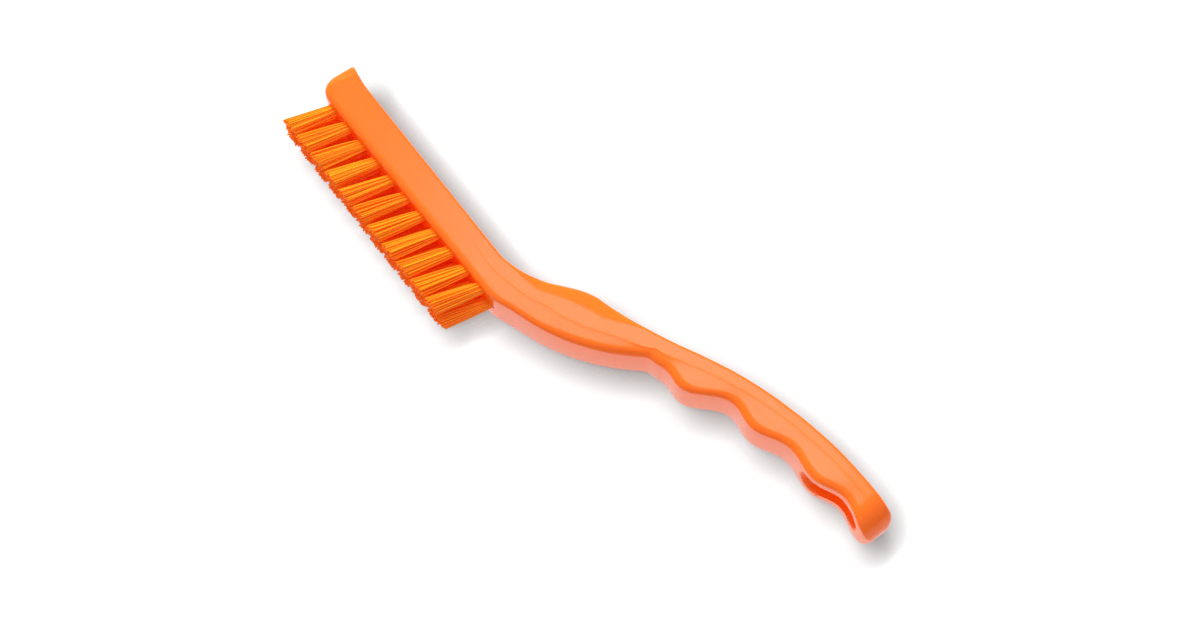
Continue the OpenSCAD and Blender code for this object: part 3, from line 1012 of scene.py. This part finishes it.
@dataclass
class Tufts:
    """The bristle tufts: each is a bundle of fine filaments, fanned out and trimmed."""

    frame: BrushFrame
    field: TuftField
    finish: ExtrudedFilament
    filaments: int = 60
    filament_d: float = 0.55
    # How much of its hole a tuft fills, and how far its filaments go down it
    root_fill: float = 0.9
    root_recess: float = 1.2
    # How unevenly the filaments are cut, how far their tips stray and their middles bow
    ragged: float = 0.5
    stray: float = 0.35
    bow: float = 0.18
    # How much shorter the first tufts' tips are along the row, and the share of its thickness
    # that a filament's tip stays above the trimmed line
    first_narrower: float = 0.45
    tip_clear: float = 0.25
    rings: int = 8
    sides: int = 6
    seed: int = 7
    sharp_angle: float = 70.0
    sizes: dict[str, str] = field(default_factory=dict)

    def tree(self) -> NodeTree:
        """Returns the node tree that makes one tuft, with Z along it and its mouth at the origin.

        It also notes the identifiers of the tree's inputs.
        """
        tree = bpy.data.node_groups.new("tuft_of_filaments", "GeometryNodeTree")
        tree.interface.new_socket("Geometry", in_out="OUTPUT", socket_type="NodeSocketGeometry")
        for name, value in self.values(Row.LEFT, 1).items():
            kind = "NodeSocketInt" if isinstance(value, int) else "NodeSocketFloat"
            socket = tree.interface.new_socket(name, in_out="INPUT", socket_type=kind)
            self.sizes[name] = socket.identifier
        size = add_node(tree, "NodeGroupInput").outputs

        # Filaments are spread evenly over a disc, and each throws its own dice
        index = add_node(tree, "GeometryNodeInputIndex")
        dice = add_node(
            tree,
            "FunctionNodeRandomValue",
            {0: (-1.0, -1.0, -1.0), 1: (1.0, 1.0, 1.0), "ID": index, "Seed": size["Seed"]},
            data_type="FLOAT_VECTOR",
        )
        share = calculate(tree, "DIVIDE", calculate(tree, "ADD", index, 0.5), size["Filaments"])
        radius = calculate(tree, "SQRT", share)
        angle = calculate(tree, "MULTIPLY", index, GOLDEN_ANGLE)
        flat = add_node(tree, "ShaderNodeCombineXYZ", {"X": radius})
        spot = add_node(
            tree, "ShaderNodeVectorRotate", {"Vector": flat, "Angle": angle}, rotation_type="Z_AXIS"
        )
        points = add_node(tree, "GeometryNodePoints", {"Count": size["Filaments"], "Position": spot})
        noted = add_node(tree, "GeometryNodeCaptureAttribute", {"Geometry": points}, domain="POINT")
        noted.capture_items.new("VECTOR", "Spot")
        noted.capture_items.new("VECTOR", "Dice")
        tree.links.new(spot.outputs[0], noted.inputs["Spot"])
        tree.links.new(dice.outputs[0], noted.inputs["Dice"])
        line = add_node(tree, "GeometryNodeCurvePrimitiveLine", {"End": (0.0, 0.0, 1.0)})
        ringed = add_node(tree, "GeometryNodeResampleCurve", {"Curve": line, "Count": size["Rings"]})
        copies = add_node(
            tree, "GeometryNodeInstanceOnPoints", {"Points": noted.outputs["Geometry"], "Instance": ringed}
        )
        curves = add_node(tree, "GeometryNodeRealizeInstances", {"Geometry": copies})

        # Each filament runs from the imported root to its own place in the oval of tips
        reach = add_node(tree, "GeometryNodeSplineParameter").outputs["Factor"]
        arch = calculate(tree, "SINE", calculate(tree, "MULTIPLY", reach, math.pi))
        bowed = calculate(tree, "MULTIPLY", arch, size["Bow"])
        spot, dice = noted.outputs["Spot"], noted.outputs["Dice"]
        root = on_vectors(tree, "SCALE", spot, size["Root Radius"])
        oval = add_node(tree, "ShaderNodeCombineXYZ", {"X": size["Tip Along"], "Y": size["Tip Across"]})
        fanned = on_vectors(tree, "MULTIPLY", spot, oval)
        tip = on_vectors(tree, "ADD", fanned, on_vectors(tree, "SCALE", dice, size["Stray"]))
        run = blend(tree, reach, root, tip, "VECTOR")
        across = on_vectors(tree, "ADD", run, on_vectors(tree, "SCALE", dice, bowed))
        plan = add_node(tree, "ShaderNodeSeparateXYZ", {0: across}).outputs

        # The tips are trimmed parallel to the head, a little unevenly
        tip_x = add_node(tree, "ShaderNodeSeparateXYZ", {0: tip})
        ahead = calculate(tree, "MULTIPLY", tip_x, calculate(tree, "SINE", size["Lean"]))
        below = calculate(tree, "SUBTRACT", size["Drop"], ahead)
        dice_z = add_node(tree, "ShaderNodeSeparateXYZ", {0: dice}).outputs["Z"]
        high_z = calculate(tree, "ADD", dice_z, 1.0)
        cut = calculate(tree, "SUBTRACT", below, calculate(tree, "MULTIPLY", high_z, size["Ragged"]))
        length = calculate(tree, "DIVIDE", cut, calculate(tree, "COSINE", size["Lean"]))
        start = calculate(tree, "SUBTRACT", 0.0, size["Root Depth"])
        height = blend(tree, reach, start, length)
        place = add_node(tree, "ShaderNodeCombineXYZ", {"X": plan["X"], "Y": plan["Y"], "Z": height})
        laid = add_node(tree, "GeometryNodeSetPosition", {"Geometry": curves, "Position": place})
        notes = {"tone": calculate(tree, "MULTIPLY", high_z, 0.5), "reach": reach}
        for name, value in notes.items():
            laid = add_node(
                tree,
                "GeometryNodeStoreNamedAttribute",
                {"Geometry": laid, "Name": name, "Value": value},
                data_type="FLOAT",
                domain="POINT",
            )
        thick = calculate(tree, "MULTIPLY", size["Thickness"], 0.5)
        profile = add_node(
            tree, "GeometryNodeCurvePrimitiveCircle", {"Resolution": size["Sides"], "Radius": thick}
        )
        rods = add_node(
            tree,
            "GeometryNodeCurveToMesh",
            {"Curve": laid, "Profile Curve": profile, "Fill Caps": True},
        )
        real = add_node(tree, "GeometryNodeRealizeInstances", {"Geometry": rods})
        dressed = add_node(
            tree, "GeometryNodeSetMaterial", {"Geometry": real, "Material": self.finish.build()}
        )
        add_node(tree, "NodeGroupOutput", {"Geometry": dressed})
        return tree

    def values(self, row: Row, index: int) -> dict[str, float | int]:
        """Returns the tree's inputs for one tuft, in brush millimetres."""
        along, across = self.field.tip_half_size()
        edge = self.filament_d / 2
        order = self.field.places().index((row, index))
        return {
            "Root Radius": (self.field.hole_d / 2 - edge) * self.root_fill,
            "Root Depth": self.root_recess,
            "Tip Along": along - edge - (self.first_narrower if index == 1 else 0.0),
            "Tip Across": across - edge,
            "Drop": self.field.drop(row, index) - self.filament_d * self.tip_clear,
            "Lean": math.radians(self.field.lean),
            "Thickness": self.filament_d,
            "Ragged": self.ragged,
            "Stray": self.stray,
            "Bow": self.bow,
            "Filaments": self.filaments,
            "Rings": self.rings,
            "Sides": self.sides,
            "Seed": self.seed + order,
        }

    def build(self) -> None:
        """Makes a piece for each tuft."""
        tree = self.tree()
        for row, index in self.field.places():
            node = f"tuft_{row.value}_{index:02d}"
            work = add_object("tuft_work", bpy.data.meshes.new("tuft_work"))
            bundle = work.modifiers.new("bundle", "NODES")
            bundle.node_group = tree
            for name, value in self.values(row, index).items():
                bundle[self.sizes[name]] = value
            mesh = finished_mesh(work)
            mesh.transform(self.frame.to_row @ self.field.at_mouth(row, index))
            place_piece(mesh, f"{node}_filaments", "bristles", self.sharp_angle, node)


@dataclass
class AnchorWires:
    """The flat wires that staple the tufts, out of sight inside the head."""

    finish: DrawnWire
    node: str = "anchor_wires"

    def build(self, nodes: dict[str, Object]) -> None:
        """Dresses the CAD node, whose shape is already right."""
        wires = nodes[self.node]
        wires.data.materials.clear()
        wires.data.materials.append(self.finish.build())
        LOG.info("%s: %d faces", self.node, len(wires.data.polygons))


@dataclass(frozen=True)
class Panel:
    """A broad far panel of light, so soft that it leaves no highlight of its own."""

    name: str
    # What it adds to a flat, level face, where 1 in all shows the face's own colour
    share: float
    # How wide it looks from the brush, in degrees, and the direction that it shines from
    spread: float
    place: Point3


@dataclass
class Studio:
    """White paper, soft light from above and the camera of the photograph."""

    paper: StudioPaper
    paper_size: float = 6.0
    # The sky's level at the horizon and overhead, how much of it gloss shows at the horizon, and
    # the height from which gloss shows all of it
    sky: Point = (0.15, 0.75)
    horizon_gloss: float = 0.1
    gloss_height: float = 0.5
    panels: tuple[Panel, ...] = (
        Panel("key", 0.62, 44.0, (-1.0, 0.22, 0.62)),
        Panel("fill", 0.03, 60.0, (0.3, -1.0, 0.5)),
    )
    # The softbox: what it adds to a flat, level face, its width and its place in metres
    softbox_share: float = 0.19
    softbox_size: float = 0.42
    softbox_at: Point3 = (-0.17, 0.24, 1.0)
    azimuth: float = 52.28
    elevation: float = 72.2
    lens: float = 69.0
    sensor_w: float = 36.0
    distance: float = 0.7407
    roll: float = -0.073
    target: Point3 = (0.00558, 0.00388, 0.02182)

    def build(self) -> None:
        """Makes the paper, the lights and the camera."""
        self.lay_paper()
        self.light()
        self.aim_camera()

    def lay_paper(self) -> None:
        """Lays the paper under the brush."""
        half = self.paper_size / 2
        mesh = bpy.data.meshes.new("paper")
        corners = [(-half, -half, 0), (half, -half, 0), (half, half, 0), (-half, half, 0)]
        mesh.from_pydata(corners, [], [(0, 1, 2, 3)])
        mesh.materials.append(self.paper.build())
        paper = add_object("paper", mesh)

    def light(self) -> None:
        """Lights the brush with the sky, the panels and the softbox."""
        world = bpy.data.worlds.new("studio")
        world.use_nodes = True
        bpy.context.scene.world = world
        tree = world.node_tree
        tree.nodes.clear()
        way = add_node(tree, "ShaderNodeTexCoord").outputs["Generated"]
        height = add_node(tree, "ShaderNodeSeparateXYZ", {0: way}).outputs["Z"]
        dome = change_range(tree, height, self.sky)
        gloss = change_range(tree, height, (self.horizon_gloss, 1.0), (0.0, self.gloss_height))
        level = blend(tree, shown_share(tree, gloss), dome, 1.0)
        sky = add_node(tree, "ShaderNodeBackground", {"Strength": level})
        add_node(tree, "ShaderNodeOutputWorld", {"Surface": sky})

        for panel in self.panels:
            lamp = bpy.data.lights.new(panel.name, "SUN")
            lamp.angle = math.radians(panel.spread)
            towards = Vector(panel.place).normalized()
            lamp.energy = panel.share * math.pi / towards.z
            self.hang(lamp, towards).visible_glossy = False

        # A round softbox whose reflection gives the grip's side its sheen
        box = bpy.data.lights.new("softbox", "AREA")
        box.shape = "DISK"
        box.size = self.softbox_size
        place = Vector(self.softbox_at)
        box.energy = self.softbox_share * (math.pi * place.length) ** 2 / place.normalized().z
        self.hang(box, place).location = place

    def hang(self, light: Light, place: Vector) -> Object:
        """Turns a light towards the brush, to shine from the side of a place, and returns it."""
        lamp = add_object(light.name, light)
        lamp.rotation_euler = (-place).to_track_quat("-Z", "Y").to_euler()
        return lamp

    def aim_camera(self) -> None:
        """Puts the camera where the photograph was taken from."""
        camera = bpy.data.cameras.new("camera")
        camera.lens = self.lens
        camera.sensor_width = self.sensor_w
        seat = add_object("camera", camera)
        a, e = math.radians(self.azimuth), math.radians(self.elevation)
        back = Vector((math.sin(a) * math.cos(e), -math.cos(a) * math.cos(e), math.sin(e)))
        seat.location = Vector(self.target) + back * self.distance
        level = back.to_track_quat("Z", "Y").to_matrix()
        seat.rotation_euler = (level @ Matrix.Rotation(math.radians(self.roll), 3, "Z")).to_euler()
        bpy.context.scene.camera = seat


def main() -> None:
    """Loads the frame, dresses the brush and sets the studio round it."""
    logging.basicConfig(level=logging.INFO, format="%(message)s")
    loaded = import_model()
    bpy.context.scene.view_settings.view_transform = "Standard"
    frame = BrushFrame()
    tuft_field = TuftField(frame)
    Studio(StudioPaper()).build()
    Handle(frame, tuft_field, MouldedPolypropylene()).build()
    Tufts(frame, tuft_field, ExtrudedFilament()).build()
    AnchorWires(DrawnWire()).build(loaded["nodes"])


if __name__ == "__main__":
    main()
